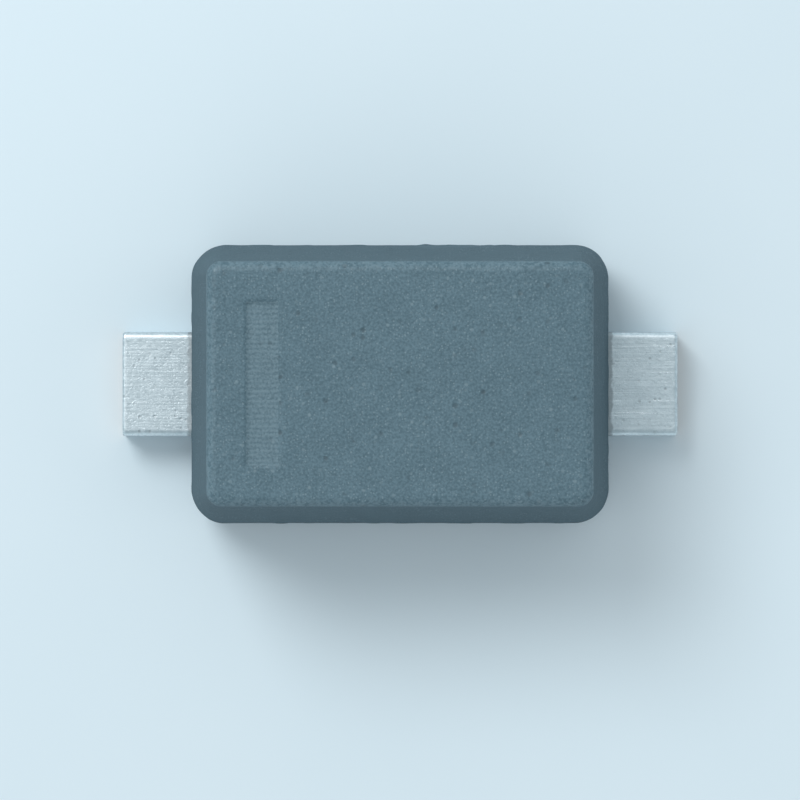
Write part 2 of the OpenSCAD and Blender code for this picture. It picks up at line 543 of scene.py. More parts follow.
def fleck_group(fade: float = 0.2, edge: Span = (0.12, 0.42)) -> bpy.types.NodeTree:
    """Group for scattered flecks: Voronoi cells, some of which hold a round spot at their middle.

    Args:
        fade: Share of the cells whose spots go from faint to full.
        edge: Distance from its middle at which a spot thins and ends, in cells.

    Returns:
        Tree that takes a Scale, in cells to the metre, and Bare, the share of cells without a spot, and
        gives Fleck.
    """
    effect = SharedEffect("scattered_flecks", ("Scale", "Bare"), ("Fleck",))
    board = effect.board
    given = effect.given
    cells = board.add("ShaderNodeTexVoronoi", {"Vector": given["Where"], "Scale": given["Scale"]})
    held = board.math("DIVIDE", board.math("SUBTRACT", board.draw(cells), given["Bare"]), fade, clamp=True)
    spot = board.ramp(cells.outputs["Distance"], *edge, 1.0, 0.0)
    board.feed(effect.result["Fleck"], board.times(held, spot))
    return effect.tree


GRAIN = grain_group()
RUB = rub_group()
FLECKS = fleck_group()


# Finishes


@dataclass(frozen=True)
class Flecks:
    """Scattered flecks of one kind.

    Attributes:
        cell: Size of the cells that may hold one, in metres.
        bare: Share of the cells that hold none.
        show: How strongly a fleck covers what is under it.
    """

    cell: float
    bare: float
    show: float

    def mask(self, board: Board, where: Socket) -> Socket:
        """Places the shared group for flecks."""
        inputs = {"Where": where, "Scale": 1.0 / self.cell, "Bare": self.bare}
        return board.group(FLECKS, inputs)["Fleck"]


@dataclass(frozen=True)
class Finish:
    """A finish: a Principled shader with a grain of its own.

    Attributes:
        name: Name of the material.
        fine: Size of the grain in metres.
        broad: Size of the mottling in metres.
    """

    name: str
    fine: float
    broad: float

    def start(self) -> tuple[bpy.types.Material, Board, bpy.types.Node]:
        """Makes the material, with a Principled shader at its output.

        Returns:
            The material, its board and the shader.
        """
        material = bpy.data.materials.new(self.name)
        material.use_nodes = True
        board = Board(material.node_tree)
        shader = board.add("ShaderNodeBsdfPrincipled")
        board.add("ShaderNodeOutputMaterial", {"Surface": shader.outputs[0]})
        return material, board, shader

    def grain(self, board: Board, where: Socket) -> bpy.types.NodeOutputs:
        """Places the shared grain group with this finish's own sizes."""
        return board.group(GRAIN, {"Where": where, "Fine": 1.0 / self.fine, "Broad": 1.0 / self.broad})

    def rub(self, board: Board, where: Socket) -> Socket:
        """Places the shared group for rubbed edges, with cells of twice the grain."""
        inputs = {"Where": where, "Edge": board.mark(SkinMark.RUBBED), "Scale": 0.5 / self.fine}
        return board.group(RUB, inputs)["Rub"]


@dataclass(frozen=True)
class PolarityBar:
    """Place of the etched bar in the top face, in metres.

    Attributes:
        middle: X of the bar's middle line.
        width: Width along X.
        length: Length along Y.
        depth: Depth below the top face.
        top: Height of the top face.
    """

    middle: float
    width: float
    length: float
    depth: float
    top: float


@dataclass(frozen=True)
class FilledEpoxy(Finish):
    """Grey moulding compound: resin with fine silica, a matte mould finish and an etched bar, with painted
    shade on its walls and in its pin holes.

    Attributes:
        bar: Place of the etched bar.
        dark: Resin where it is darkest.
        light: Resin where it is lightest.
        filler: Grains of silica that show at the skin.
        painted_pinhole_shade: Painted shade in the pin holes of the skin.
        worn: Resin on rubbed edges, on the flash and in draw marks.
        etched: Bottom of the etched bar.
        painted_wall_shade: Painted shade on the walls: a darker resin colour that makes them look darker than
            the top face.
        silica: Fine grains of silica.
        lumps: Coarse grains of silica.
        pores: Pin holes.
        crater: Size of the dimples that the mould's sparked finish left.
        drawn_line: Width of the lines that the mould drew down the walls.
        drawn_scale: Scale of their coordinates, which makes them long.
        drawn_patch: Size of the patches in which those lines lie.
        lines_from: Noise at which a line starts and is full.
        patches_from: Noise at which a patch starts and is full.
        burn_line: Spacing of the lines in which the bar was etched.
        burn_waver: How much those lines waver.
        burn_detail: Layers of that wavering.
        burn_from: Height of the wave at which a line starts and is full.
        burn_show: How strongly the etching shows between its lines and on them.
        speck_from: Speckle of the grain at which the etching is weakest and full.
        speck_show: How strongly it shows there.
        etch_soft: Half the width of the bar's soft edge.
        etch_below: How far down the etching is still full and ends, in depths of the bar.
        ragged_cell: Size of the teeth of the bar's ragged edge.
        ragged: How far those teeth reach.
        rub_show: How strongly rubbed edges show.
        flash_show: How strongly the flash shows.
        drawn_show: How strongly the drawn lines show.
        painted_wall_shade_show: How strongly the painted shade on the walls shows.
        tone: Parts of the tone between dark and light.
        roughness: Parts of the roughness.
        height: Parts of the relief's height.
        depth: Height of the relief in metres.
    """

    bar: PolarityBar = field(kw_only=True)
    dark: Colour = (0.058, 0.116, 0.148)
    light: Colour = (0.106, 0.187, 0.232)
    filler: Colour = (0.225, 0.316, 0.358)
    painted_pinhole_shade: Colour = (0.022, 0.043, 0.055)
    worn: Colour = (0.160, 0.244, 0.288)
    etched: Colour = (0.152, 0.235, 0.279)
    painted_wall_shade: Colour = (0.040, 0.077, 0.097)
    silica: Flecks = Flecks(8 * MICRON, bare=0.55, show=0.45)
    lumps: Flecks = Flecks(17 * MICRON, bare=0.80, show=0.50)
    pores: Flecks = Flecks(26 * MICRON, bare=0.84, show=0.70)
    crater: float = 12 * MICRON
    drawn_line: float = 6 * MICRON
    drawn_scale: Scale = (1.0, 1.0, 0.05)
    drawn_patch: float = 160 * MICRON
    lines_from: Span = (0.52, 0.68)
    patches_from: Span = (0.40, 0.62)
    burn_line: float = 14 * MICRON
    burn_waver: float = 1.5
    burn_detail: float = 2.0
    burn_from: Span = (0.1, 0.9)
    burn_show: Span = (0.35, 0.75)
    speck_from: Span = (0.0, 0.8)
    speck_show: Span = (0.5, 1.0)
    etch_soft: float = 2 * MICRON
    etch_below: Span = (2.0, 3.0)
    ragged_cell: float = 9 * MICRON
    ragged: float = 5 * MICRON
    rub_show: float = 0.42
    flash_show: float = 0.45
    drawn_show: float = 0.26
    painted_wall_shade_show: float = 0.62
    tone: Blend = Blend(speck=0.8, mottle=0.2)
    roughness: Blend = Blend(0.53, speck=0.07, rub=-0.10, etching=0.14, wall=0.30)
    height: Blend = Blend(craters=0.5, grain=0.8, pore=-1.0, drawn=-0.5, burn=0.4)
    depth: float = 1.5 * MICRON

    def draw_marks(self, board: Board, where: Socket, wall: Socket) -> Socket:
        """Mask of the lines that the mould drew down the walls: noise stretched along Z, in patches.

        Args:
            board: Board of the material.
            where: Object coordinates.
            wall: Mask of the walls.

        Returns:
            Mask between 0 and 1.
        """
        lines = board.noise(board.stretched(where, self.drawn_scale), self.drawn_line)
        patches = board.noise(where, self.drawn_patch)
        marks = board.times(board.ramp(lines, *self.lines_from), board.ramp(patches, *self.patches_from))
        return board.times(marks, wall)

    def etching(self, board: Board, where: Socket) -> Socket:
        """Mask of the etched bar: near the top by Z, and inside its ragged sides by X and Y.

        Args:
            board: Board of the material.
            where: Object coordinates.

        Returns:
            Mask between 0 and 1.
        """
        bar = self.bar
        axis = board.axes(where)
        full, end = self.etch_below
        ragged = board.total((board.noise(where, self.ragged_cell), self.ragged), start=-self.ragged / 2)
        beside = board.math("SUBTRACT", axis["X"], bar.middle)
        mask = board.ramp(axis["Z"], bar.top - end * bar.depth, bar.top - full * bar.depth)
        for distance, size in ((beside, bar.width), (axis["Y"], bar.length)):
            beyond = board.math("ADD", board.math("ABSOLUTE", distance), ragged)
            inside = board.ramp(beyond, size / 2 - self.etch_soft, size / 2 + self.etch_soft, 1.0, 0.0)
            mask = board.times(mask, inside)
        return mask

    def burn(self, board: Board, where: Socket, etching: Socket, speck: Socket) -> Socket:
        """Mask of the etched lines: bands along X inside the bar, broken up by the grain.

        Args:
            board: Board of the material.
            where: Object coordinates.
            etching: Mask of the bar.
            speck: The grain's speckle.

        Returns:
            Mask between 0 and 1.
        """
        inputs = {"Vector": where, "Scale": WAVE_SPACING / self.burn_line}
        inputs |= {"Distortion": self.burn_waver, "Detail": self.burn_detail}
        wave = board.add("ShaderNodeTexWave", inputs, bands_direction="Y").outputs["Fac"]
        lines = board.ramp(wave, *self.burn_from, *self.burn_show)
        broken = board.times(lines, board.ramp(speck, *self.speck_from, *self.speck_show))
        return board.times(etching, broken)

    def material(self) -> bpy.types.Material:
        """Builds the material.

        Returns:
            The finished material.
        """
        material, board, shader = self.start()
        where = board.place()
        grain = self.grain(board, where)
        rub = self.rub(board, where)
        pore = self.pores.mask(board, where)
        wall = board.mark(SkinMark.DRAWN)
        drawn = self.draw_marks(board, where, wall)
        etching = self.etching(board, where)
        burn = self.burn(board, where, etching, grain["Speck"])
        tone = self.tone.of(board, speck=grain["Speck"], mottle=grain["Mottle"])
        colour = board.tint(tone, self.dark, self.light)
        for grains in (self.silica, self.lumps):
            colour = board.layer(colour, self.filler, grains.mask(board, where), grains.show)
        # Painted shade: the pin holes are darkened where shade would fall in them
        colour = board.layer(colour, self.painted_pinhole_shade, pore, self.pores.show)
        # Painted shade: the walls are darkened so that they look darker than the top face
        colour = board.layer(colour, self.painted_wall_shade, wall, self.painted_wall_shade_show)
        flash = board.mark(SkinMark.FLASH)
        for mask, show in ((rub, self.rub_show), (flash, self.flash_show), (drawn, self.drawn_show)):
            colour = board.layer(colour, self.worn, mask, show)
        board.feed(shader.inputs["Base Color"], board.tint(burn, colour, self.etched))
        rough = self.roughness.of(board, speck=grain["Speck"], rub=rub, etching=etching, wall=wall)
        board.feed(shader.inputs["Roughness"], rough)
        relief = {"craters": board.cells(where, self.crater).outputs["Distance"], "grain": grain["Height"]}
        relief |= {"pore": pore, "drawn": drawn, "burn": burn}
        height = self.height.of(board, **relief)
        board.feed(shader.inputs["Normal"], board.relief(height, self.depth))
        return material


@dataclass(frozen=True)
class MatteTin(Finish):
    """Matte tin over copper: fine crystals, tool scratches, and copper where the strip was sheared off.

    Attributes:
        wall: Distance from the middle at which the lead leaves the moulding, in metres.
        skin_z: Height of the moulding's underside, below which there is no resin on the lead.
        smear_z: Height on the sheared end below which its copper is bare.
        bright: Clean tin.
        dull: Handled, slightly oxidised tin.
        burnished: Tin where tools have scraped it.
        stain: Tin in pits and under resin beside the moulding.
        copper: Bare copper of the sheared end.
        tarnished: Copper in the furrows that the shear left.
        pits: Pits in the plating.
        crystal: Size of the tin's crystals.
        rolled_line: Width of the lines that rolling left along the strip.
        rolled_scale: Scale of their coordinates, which makes them long.
        lines_from: Noise at which such a line is darkest and lightest.
        scuff_line: Width of the scuffs across it.
        scuff_scale: Scale of their coordinates.
        scratches_from: Noise at which a rolled line becomes a scratch, and is full.
        scuffs_from: Noise at which a scuff starts and is full.
        bleed: How far resin has crept out along the lead.
        bleed_cell: Size of the lobes of that resin.
        bleed_edge: Distance past its end at which the resin thins and is gone.
        bleed_rise: Height above the moulding's underside at which it is full.
        drag_line: Width of the lines that the shear dragged down the end.
        drag_scale: Scale of their coordinates.
        drags_from: Noise at which such a line starts and is full.
        smear: How far it dragged the tin down over the copper.
        smear_soft: Half the height of the change from tin to copper.
        torn: Size of the grain of the torn copper.
        torn_from: Noise at which that grain is lightest and darkest.
        scuff_show: How strongly a scuff shows beside a scratch.
        drag_show: How strongly the dragged lines show in the tin.
        furrow_show: How strongly they show in the copper.
        mark_show: How strongly scratches and scuffs show.
        rub_show: How strongly rubbed edges show.
        resin_show: How strongly the resin shows.
        copper_show: How strongly the copper shows.
        tone: Parts of the tone between dull and bright.
        roughness: Parts of the roughness.
        height: Parts of the relief's height.
        depth: Height of the relief in metres.
    """

    wall: float = field(kw_only=True)
    skin_z: float = field(kw_only=True)
    smear_z: float = field(kw_only=True)
    bright: Colour = (0.72, 0.785, 0.815)
    dull: Colour = (0.54, 0.605, 0.635)
    burnished: Colour = (0.85, 0.89, 0.91)
    stain: Colour = (0.28, 0.30, 0.31)
    copper: Colour = (0.73, 0.47, 0.36)
    tarnished: Colour = (0.47, 0.30, 0.23)
    pits: Flecks = Flecks(15 * MICRON, bare=0.80, show=0.55)
    crystal: float = 6 * MICRON
    rolled_line: float = 4 * MICRON
    rolled_scale: Scale = (0.02, 1.0, 1.0)
    lines_from: Span = (0.3, 0.7)
    scuff_line: float = 7 * MICRON
    scuff_scale: Scale = (1.0, 0.05, 1.0)
    scratches_from: Span = (0.64, 0.70)
    scuffs_from: Span = (0.68, 0.74)
    bleed: float = 26 * MICRON
    bleed_cell: float = 22 * MICRON
    bleed_edge: Span = (-5 * MICRON, 3 * MICRON)
    bleed_rise: float = 8 * MICRON
    drag_line: float = 9 * MICRON
    drag_scale: Scale = (1.0, 1.0, 0.12)
    drags_from: Span = (0.40, 0.62)
    smear: float = 60 * MICRON
    smear_soft: float = 5 * MICRON
    torn: float = 5 * MICRON
    torn_from: Span = (0.35, 0.65)
    scuff_show: float = 0.60
    drag_show: float = 0.25
    furrow_show: float = 0.30
    mark_show: float = 0.60
    rub_show: float = 0.50
    resin_show: float = 0.60
    copper_show: float = 0.92
    tone: Blend = Blend(crystal=0.40, mottle=0.25, lines=0.35)
    roughness: Blend = Blend(0.36, mottle=-0.07, crystal=0.09, marks=-0.10, resin=0.14, copper=0.08)
    height: Blend = Blend(crystal=0.22, grain=0.6, rolled=0.5, pit=-0.6, torn=1.5, drag=-0.9)
    depth: float = 0.8 * MICRON

    def tool_marks(self, board: Board, where: Socket, rolled: Socket) -> Socket:
        """Mask of scratches: the sharpest of the rolled lines, and fainter scuffs across them.

        Args:
            board: Board of the material.
            where: Object coordinates.
            rolled: Noise of the rolled lines.

        Returns:
            Mask between 0 and 1.
        """
        crosswise = board.stretched(where, self.scuff_scale)
        scuffs = board.ramp(board.noise(crosswise, self.scuff_line), *self.scuffs_from)
        scratches = board.ramp(rolled, *self.scratches_from)
        return board.math("MAXIMUM", scratches, board.times(scuffs, self.scuff_show))

    def resin(self, board: Board, where: Socket) -> Socket:
        """Mask of the thin resin beside the moulding: within an uneven distance of its wall.

        Args:
            board: Board of the material.
            where: Object coordinates.

        Returns:
            Mask between 0 and 1.
        """
        axis = board.axes(where)
        out = board.math("SUBTRACT", board.math("ABSOLUTE", axis["X"]), self.wall)
        past = board.total((board.noise(where, self.bleed_cell), -self.bleed), (out, 1.0))
        above = board.ramp(axis["Z"], self.skin_z, self.skin_z + self.bleed_rise)
        return board.times(board.ramp(past, *self.bleed_edge, 1.0, 0.0), above)

    def shear(self, board: Board, where: Socket) -> tuple[Socket, Socket]:
        """Masks of the sheared end: the lines that the tool dragged down it, and the copper below the tin.

        Args:
            board: Board of the material.
            where: Object coordinates.

        Returns:
            Mask of the lines and mask of the bare copper.
        """
        end = board.mark(SkinMark.SHEARED)
        streaks = board.noise(board.stretched(where, self.drag_scale), self.drag_line)
        level = board.total((streaks, self.smear), (board.axes(where)["Z"], 1.0), start=-self.smear / 2)
        below = board.ramp(level, self.smear_z - self.smear_soft, self.smear_z + self.smear_soft, 1.0, 0.0)
        return board.times(end, board.ramp(streaks, *self.drags_from)), board.times(end, below)

    def material(self) -> bpy.types.Material:
        """Builds the material.

        Returns:
            The finished material.
        """
        material, board, shader = self.start()
        where = board.place()
        grain = self.grain(board, where)
        crystal = board.draw(board.cells(where, self.crystal))
        rolled = board.noise(board.stretched(where, self.rolled_scale), self.rolled_line)
        marks = self.tool_marks(board, where, rolled)
        pit = self.pits.mask(board, where)
        resin = self.resin(board, where)
        drag, copper = self.shear(board, where)
        torn = board.noise(where, self.torn)
        lines = board.ramp(rolled, *self.lines_from)
        tone = self.tone.of(board, crystal=crystal, mottle=grain["Mottle"], lines=lines)
        colour = board.tint(tone, self.dull, self.bright)
        colour = board.layer(colour, self.stain, pit, self.pits.show)
        colour = board.layer(colour, self.burnished, marks, self.mark_show)
        colour = board.layer(colour, self.burnished, self.rub(board, where), self.rub_show)
        colour = board.layer(colour, self.stain, resin, self.resin_show)
        colour = board.layer(colour, self.stain, drag, self.drag_show)
        furrowed = board.tint(board.ramp(torn, *self.torn_from), self.copper, self.tarnished)
        furrowed = board.layer(furrowed, self.tarnished, drag, self.furrow_show)
        colour = board.layer(colour, furrowed, copper, self.copper_show)
        board.feed(shader.inputs["Base Color"], colour)
        shader.inputs["Metallic"].default_value = 1.0
        shine = {"mottle": grain["Mottle"], "crystal": crystal, "marks": marks}
        shine |= {"resin": resin, "copper": copper}
        board.feed(shader.inputs["Roughness"], self.roughness.of(board, **shine))
        relief = {"crystal": crystal, "grain": grain["Height"], "rolled": rolled, "pit": pit}
        relief |= {"torn": board.times(torn, copper), "drag": drag}
        board.feed(shader.inputs["Normal"], board.relief(self.height.of(board, **relief), self.depth))
        return material


@dataclass(frozen=True)
class PlainMetal(Finish):
    """Metal of the sealed pieces, with a grain in its tone and its shine.

    Attributes:
        light: Lighter tone.
        dark: Darker tone.
        smooth: Roughness where the metal is smoothest.
        rough: Roughness where it is roughest.
        depth: Height of the grain in metres.
        speck_show: How strongly the fine grain shows.
    """

    light: Colour = field(kw_only=True)
    dark: Colour = field(kw_only=True)
    smooth: float = field(kw_only=True)
    rough: float = field(kw_only=True)
    depth: float = field(kw_only=True)
    speck_show: float = 0.3

    def material(self) -> bpy.types.Material:
        """Builds the material.

        Returns:
            The finished material.
        """
        material, board, shader = self.start()
        grain = self.grain(board, board.place())
        colour = board.tint(grain["Mottle"], self.dark, self.light)
        colour = board.layer(colour, self.light, grain["Speck"], self.speck_show)
        board.feed(shader.inputs["Base Color"], colour)
        shader.inputs["Metallic"].default_value = 1.0
        board.feed(shader.inputs["Roughness"], board.ramp(grain["Speck"], 0.0, 1.0, self.smooth, self.rough))
        board.feed(shader.inputs["Normal"], board.relief(grain["Height"], self.depth))
        return material


@dataclass(frozen=True)
class SawnSilicon(Finish):
    """Silicon chip: a polished, oxide-coated top with a ring round its contact, and sawn sides.

    Attributes:
        middle: X of the chip's middle.
        top: Height of the chip's top.
        ring: Inside radius of the ring in metres.
        ring_width: Width of the ring.
        oxide: Top, under its oxide.
        guard: The ring.
        sawn: Sides where they are darkest.
        chipped: Sides where they are lightest.
        soft: Width of the ring's soft edge.
        polish_below: How far below the top its polish starts and is full.
        mottle_show: How strongly the oxide's mottling shows.
        rough: Roughness of the sides and of the top.
        saw_scale: Scale of the saw marks' coordinates, which makes them long.
        depth: Height of the saw marks.
    """

    middle: float = field(kw_only=True)
    top: float = field(kw_only=True)
    ring: float = field(kw_only=True)
    ring_width: float = 12 * MICRON
    oxide: Colour = (0.085, 0.075, 0.150)
    guard: Colour = (0.240, 0.220, 0.330)
    sawn: Colour = (0.125, 0.128, 0.138)
    chipped: Colour = (0.190, 0.195, 0.205)
    soft: float = 2 * MICRON
    polish_below: Span = (2 * MICRON, 1 * MICRON)
    mottle_show: float = 0.3
    rough: Span = (0.55, 0.12)
    saw_scale: Scale = (0.1, 0.1, 1.0)
    depth: float = 0.6 * MICRON

    def guard_ring(self, board: Board, where: Socket) -> Socket:
        """Mask of the ring: between two distances from the chip's middle line.

        Args:
            board: Board of the material.
            where: Object coordinates.

        Returns:
            Mask between 0 and 1.
        """
        flat = board.stretched(where, (1.0, 1.0, 0.0))
        ends = {0: flat, 1: (self.middle, 0.0, 0.0)}
        radius = board.add("ShaderNodeVectorMath", ends, operation="DISTANCE").outputs["Value"]
        outer = self.ring + self.ring_width
        inside = board.ramp(radius, outer, outer + self.soft, 1.0, 0.0)
        return board.times(board.ramp(radius, self.ring, self.ring + self.soft), inside)

    def material(self) -> bpy.types.Material:
        """Builds the material.

        Returns:
            The finished material.
        """
        material, board, shader = self.start()
        where = board.place()
        grain = self.grain(board, where)
        start, full = self.polish_below
        upper = board.ramp(board.axes(where)["Z"], self.top - start, self.top - full)
        face = board.layer(self.oxide, self.guard, grain["Mottle"], self.mottle_show)
        face = board.tint(self.guard_ring(board, where), face, self.guard)
        sides = board.tint(grain["Speck"], self.sawn, self.chipped)
        board.feed(shader.inputs["Base Color"], board.tint(upper, sides, face))
        board.feed(shader.inputs["Roughness"], board.ramp(upper, 0.0, 1.0, *self.rough))
        saw = board.noise(board.stretched(where, self.saw_scale), self.fine)
        height = board.times(saw, board.math("SUBTRACT", 1.0, upper))
        board.feed(shader.inputs["Normal"], board.relief(height, self.depth))
        return material


@dataclass(frozen=True)
class PaleFloor(Finish):
    """Pale, faintly mottled sheet under the diode.

    Attributes:
        light: Lighter tone.
        dark: Darker tone.
        rough: Roughness.
        gloss: Specular level.
    """

    light: Colour = (0.690, 0.825, 0.895)
    dark: Colour = (0.682, 0.819, 0.890)
    rough: float = 0.9
    gloss: float = 0.15

    def material(self) -> bpy.types.Material:
        """Builds the material.

        Returns:
            The finished material.
        """
        material, board, shader = self.start()
        grain = self.grain(board, board.place())
        board.feed(shader.inputs["Base Color"], board.tint(grain["Mottle"], self.dark, self.light))
        shader.inputs["Roughness"].default_value = self.rough
        shader.inputs["Specular IOR Level"].default_value = self.gloss
        return material


# Pieces


@dataclass
class MouldedBody:
    """The epoxy moulding: rings carried up a section of its wall, closed by two flat grids. Sizes in metres.

    A ring is a rectangle of corner axes, grown outwards by a radius. The section gives each ring's radius
    and height: round the edge of the underside, up the lower wall to the parting line, up the upper wall
    and round the top edge.

    Attributes:
        parting: Height of the parting line above the feet's underside.
        draft: Lean of the walls from the vertical, in degrees.
        corner: Plan radius of the corners at the top face.
        top_edge: Rounding of the edge round the top face.
        bottom_edge: Rounding of the edge round the underside.
        drawn_below: How far below the top face the walls start to be drawn by the mould and are full, which
            is also where their painted shade starts.
        bar_inset: Distance of the polarity bar from the top face's cathode edge.
        bar_width: Width of the bar.
        bar_length: Length of the bar.
        bar_depth: Depth of the bar.
        ejector_radius: Radius of the ejector pin's mark in the underside.
        ejector_depth: Depth of that mark.
        mould_step: How far the lower mould half is set in from the upper one.
        flash_height: How far the flash stands out at the parting line.
        flash_reach: Half the height of the flash.
        flash_rows: Height of the fine rows on each side of the parting line, in reaches of the flash.
        flash_patch: Length of the stretches in which the flash comes and goes.
        flash_scale: Scale of their coordinates, which makes them tall.
        flash_seed: Number that chooses their noise.
        flash_from: Noise at which the flash starts to grow and is full.
        flash_least: Share of it that is left where it is thinnest.
        gate_middle: X of the scar where the runner was broken off.
        gate_width: Width of the scar.
        gate_height: Height of the scar.
        gate_proud: How far the scar's torn skin stands out.
        gate_edge: Raggedness of the scar's outline.
        gate_tear: Unevenness of the torn skin.
        gate_show: How strongly the scar shows beside the flash.
        skin: Faint unevenness of the rest of the skin.
        soft: Half the width of the slope round a recess.
        step_soft: Half the height of the slope between the mould halves.
        on_face: Distance up to which a point counts as on a flat face.
        step: Spacing of the grid.
        corner_steps: Steps round a corner.
        edge_steps: Steps round an edge.
        flash_steps: Steps over the flash.
    """

    parting: float = 0.13 * MM
    draft: float = 7.0
    corner: float = 0.04 * MM
    top_edge: float = 0.03 * MM
    bottom_edge: float = 0.015 * MM
    drawn_below: Span = (10 * MICRON, 40 * MICRON)
    bar_inset: float = 0.11 * MM
    bar_width: float = 0.09 * MM
    bar_length: float = 0.46 * MM
    bar_depth: float = 8.0 * MICRON
    ejector_radius: float = 0.13 * MM
    ejector_depth: float = 8.0 * MICRON
    mould_step: float = 3.0 * MICRON
    flash_height: float = 2.5 * MICRON
    flash_reach: float = 2.5 * MICRON
    flash_rows: float = 2.5
    flash_patch: float = 38.0 * MICRON
    flash_scale: Scale = (1.0, 1.0, 0.1)
    flash_seed: int = 11
    flash_from: Span = (-0.1, 0.6)
    flash_least: float = 0.3
    gate_middle: float = 0.16 * MM
    gate_width: float = 0.22 * MM
    gate_height: float = 0.07 * MM
    gate_proud: float = 0.6 * MICRON
    gate_edge: Unevenness = Unevenness(22 * MICRON, height=6.0 * MICRON, seed=51)
    gate_tear: Unevenness = Unevenness(20 * MICRON, height=2.2 * MICRON, seed=21)
    gate_show: float = 0.3
    skin: Unevenness = Unevenness(30 * MICRON, height=0.35 * MICRON, seed=3)
    soft: float = 4.0 * MICRON
    step_soft: float = 1.0 * MICRON
    on_face: float = 0.5 * MICRON
    step: float = 7.0 * MICRON
    corner_steps: int = 16
    edge_steps: int = 9
    flash_steps: int = 13

    def __post_init__(self) -> None:
        """Takes the outer sizes from the frame and works out what follows from them."""
        low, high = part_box("moulded_body")
        self.bottom = low.z
        self.top = high.z
        self.wall = high.x
        self.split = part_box(End.CATHODE.node)[0].z + self.parting
        slope = math.tan(math.radians(self.draft))
        upper_lean = (self.top - self.split) * slope
        self.lower_lean = (self.split - self.bottom) * slope
        self.top_half_length = high.x - upper_lean
        self.axis_x = self.top_half_length - self.corner
        self.axis_y = high.y - upper_lean - self.corner
        self.split_radius = self.corner + upper_lean

    @property
    def bar(self) -> PolarityBar:
        """The polarity bar's place."""
        middle = self.bar_inset + self.bar_width / 2 - self.top_half_length
        return PolarityBar(middle, self.bar_width, self.bar_length, self.bar_depth, self.top)

    def round_walk(self) -> tuple[np.ndarray, np.ndarray, list[int]]:
        """Walk once round a ring, from the middle of a corner: half the corner, a side, half the next corner.

        Returns:
            The point of the axis rectangle and the outward direction for each step, both shape (steps, 2),
            and the step at which each of the four sides starts.
        """
        signs = np.array([[1, 1], [-1, 1], [-1, -1], [1, -1]])
        corners = signs * [self.axis_x, self.axis_y]
        half = self.corner_steps // 2
        bend = math.pi / 4 * np.arange(half) / half
        axes, outwards, starts = [], [], []
        for side in range(4):
            start, end = corners[side - 1], corners[side]
            count = round(float(np.abs(end - start).max()) / self.step)
            share = np.arange(count)[:, None] / count
            facing = math.radians(90 * side)
            angle = np.concatenate([facing - math.pi / 4 + bend, np.full(count, facing), facing + bend])
            starts.append(sum(map(len, outwards)))
            axes += [np.tile(start, (half, 1)), start + (end - start) * share, np.tile(end, (half, 1))]
            outwards.append(np.stack([np.cos(angle), np.sin(angle)], -1))
        return np.concatenate(axes), np.concatenate(outwards), starts

    def flat_grid(self, rim: np.ndarray, starts: list[int]) -> np.ndarray:
        """Grid across a flat face, spanned between the four sides of its rim.

        Each point is the blend of the two long sides, plus the blend of the two short sides, less the blend
        of the four corners.

        Args:
            rim: Points of the rim, shape (steps, 3).
            starts: Step at which each side starts.

        Returns:
            Points from the -Y side to the +Y side in rows from -X to +X, shape (rows, columns, 3).
        """
        ring = np.concatenate([rim, rim[:1]])
        ends = starts[1:] + [len(rim)]
        right, far, left, near = [ring[start : end + 1] for start, end in zip(starts, ends)]
        far, left = far[::-1], left[::-1]
        u = np.linspace(0, 1, len(near))[None, :, None]
        v = np.linspace(0, 1, len(left))[:, None, None]
        sides = (1 - v) * near[None] + v * far[None] + (1 - u) * left[:, None] + u * right[:, None]
        corners = (1 - v) * ((1 - u) * near[0] + u * near[-1]) + v * ((1 - u) * far[0] + u * far[-1])
        grid = sides - corners
        grid[0], grid[-1], grid[:, 0], grid[:, -1] = near, far, left, right
        return grid

    def section(self) -> tuple[np.ndarray, np.ndarray, np.ndarray]:
        """Section of the wall, from the rim of the underside to the rim of the top face.

        Each edge is an arc that meets the leaning wall and the flat face smoothly.

        Returns:
            For each row its radius, its height and its edge mark.
        """
        lean = math.radians(self.draft)
        setback = (1 - math.sin(lean)) / math.cos(lean)
        low_centre = self.split_radius - self.lower_lean - self.bottom_edge * setback
        top_centre = self.corner - self.top_edge * setback
        low_angle = np.linspace(-math.pi / 2, -lean, self.edge_steps)
        top_angle = np.linspace(lean, math.pi / 2, self.edge_steps)
        near = self.flash_rows * self.flash_reach * np.linspace(-1, 1, self.flash_steps)
        low_rise = np.arange(self.bottom + self.bottom_edge + self.step, self.split + near[0], self.step)
        high_rise = np.arange(self.split + near[-1] + self.step, self.top - self.top_edge, self.step)
        rise = np.concatenate([low_rise, self.split + near, high_rise])
        rise_radius = self.split_radius - np.abs(rise - self.split) * math.tan(lean)
        radius = [low_centre + self.bottom_edge * np.cos(low_angle), rise_radius]
        radius.append(top_centre + self.top_edge * np.cos(top_angle))
        height = [self.bottom + self.bottom_edge * (1 + np.sin(low_angle)), rise]
        height.append(self.top - self.top_edge * (1 - np.sin(top_angle)))
        edge = [np.sin(-2 * low_angle), np.zeros(rise.size), np.sin(2 * top_angle)]
        return np.concatenate(radius), np.concatenate(height), np.concatenate(edge)

    def flash(self, points: np.ndarray) -> np.ndarray:
        """Share of the ridge at the parting line: a bell curve over height, cut to its least in places.

        Args:
            points: Points of the smooth skin, shape (..., 3).

        Returns:
            Shares between 0 and 1, shape (...).
        """
        ridge = np.exp(-(((points[..., 2] - self.split) / self.flash_reach) ** 2))
        patchy = smooth_noise(points * self.flash_scale, self.flash_patch, self.flash_seed)
        return ridge * (self.flash_least + (1 - self.flash_least) * soft_step(patchy, *self.flash_from))

